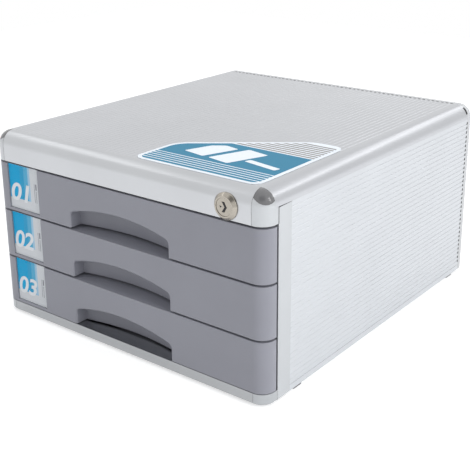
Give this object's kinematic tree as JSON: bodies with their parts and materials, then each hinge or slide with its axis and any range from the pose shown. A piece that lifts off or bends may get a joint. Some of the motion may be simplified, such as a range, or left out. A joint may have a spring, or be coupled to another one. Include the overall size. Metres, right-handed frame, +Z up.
{
  "type": "desktop file drawer",
  "caption": "Lockable desktop file drawer cabinet for A4 paper: aluminium case with rounded edges, stacked pull-out trays with arched finger recesses and label pockets.",
  "frame": {"origin": "on the table, under the middle of the part's bounding box", "axes": "+Z up; the drawers open towards -Y; +X is the viewer's right, the side of the lock"},
  "size_m": [0.3, 0.3402, 0.1743],
  "materials": {
    "aluminium_panel": "satin anodised, finely ribbed",
    "aluminium_trim": "satin anodised",
    "silver_trim": "silver painted, satin",
    "cap_plastic": "glossy grey",
    "drawer_plastic": "satin grey",
    "tray_plastic": "matt grey",
    "case_plastic": "matt dark grey",
    "label_card": "printed card",
    "clear_cover": "clear plastic",
    "badge_film": "printed film",
    "lock_metal": "nickel plated",
    "steel": "zinc plated",
    "rubber": "matt"
  },
  "bodies": {
    "case": {"top_cover": "aluminium_panel", "side_panel_right": "aluminium_panel", "side_panel_left": "aluminium_panel", "front_stile_right": "silver_trim", "front_stile_left": "silver_trim", "bottom_rail_right": "aluminium_trim", "bottom_rail_left": "aluminium_trim", "base_plate": "case_plastic", "front_beam": "aluminium_trim", "front_corner_right": "silver_trim", "front_corner_left": "silver_trim", "corner_cap_right": "cap_plastic", "corner_cap_left": "cap_plastic", "base_beam": "aluminium_trim", "base_corner_right": "silver_trim", "base_corner_left": "silver_trim", "rear_frame": "case_plastic", "rear_panel": "case_plastic", "rear_screws": "steel", "runner_right": "case_plastic", "runner_left": "case_plastic", "foot_front_right": "rubber", "foot_front_left": "rubber", "foot_rear_right": "rubber", "foot_rear_left": "rubber", "top_sticker": "badge_film", "lock_housing": "lock_metal", "lock_nut": "steel", "bar_guide_upper": "case_plastic", "bar_guide_lower": "case_plastic"},
    "drawer_top": {"drawer_top_front": "drawer_plastic", "drawer_top_tray": "tray_plastic", "drawer_top_strip_right": "tray_plastic", "drawer_top_strip_left": "tray_plastic", "drawer_top_stops": "tray_plastic", "drawer_top_catch": "steel", "drawer_top_label_card": "label_card", "drawer_top_label_cover": "clear_cover"},
    "drawer_middle": {"drawer_middle_front": "drawer_plastic", "drawer_middle_tray": "tray_plastic", "drawer_middle_strip_right": "tray_plastic", "drawer_middle_strip_left": "tray_plastic", "drawer_middle_stops": "tray_plastic", "drawer_middle_catch": "steel", "drawer_middle_label_card": "label_card", "drawer_middle_label_cover": "clear_cover"},
    "drawer_bottom": {"drawer_bottom_front": "drawer_plastic", "drawer_bottom_tray": "tray_plastic", "drawer_bottom_strip_right": "tray_plastic", "drawer_bottom_strip_left": "tray_plastic", "drawer_bottom_stops": "tray_plastic", "drawer_bottom_catch": "steel", "drawer_bottom_label_card": "label_card", "drawer_bottom_label_cover": "clear_cover"},
    "lock_plug": {"lock_plug": "lock_metal", "lock_cam": "steel", "lock_cam_screw": "steel"},
    "lock_bar": {"lock_bar": "steel"}
  },
  "joints": [
    {"name": "drawer_top_slide", "type": "slide", "parent": "case", "child": "drawer_top", "axis": [0, -1, 0], "range_m": [0, 0.24]},
    {"name": "drawer_middle_slide", "type": "slide", "parent": "case", "child": "drawer_middle", "axis": [0, -1, 0], "range_m": [0, 0.24]},
    {"name": "drawer_bottom_slide", "type": "slide", "parent": "case", "child": "drawer_bottom", "axis": [0, -1, 0], "range_m": [0, 0.24]},
    {"name": "lock_turn", "type": "hinge", "parent": "case", "child": "lock_plug", "pos_m": [0.114, -0.1669, 0.158], "axis": [0, 1, 0], "range_deg": [0, 90]},
    {"name": "lock_bar_slide", "type": "slide", "parent": "case", "child": "lock_bar", "axis": [0, 0, -1], "range_m": [0, 0.00989]}
  ],
  "couplings": [
    {"joint": "lock_turn", "follows": "lock_bar_slide", "rad_per_m": 158.7}
  ]
}
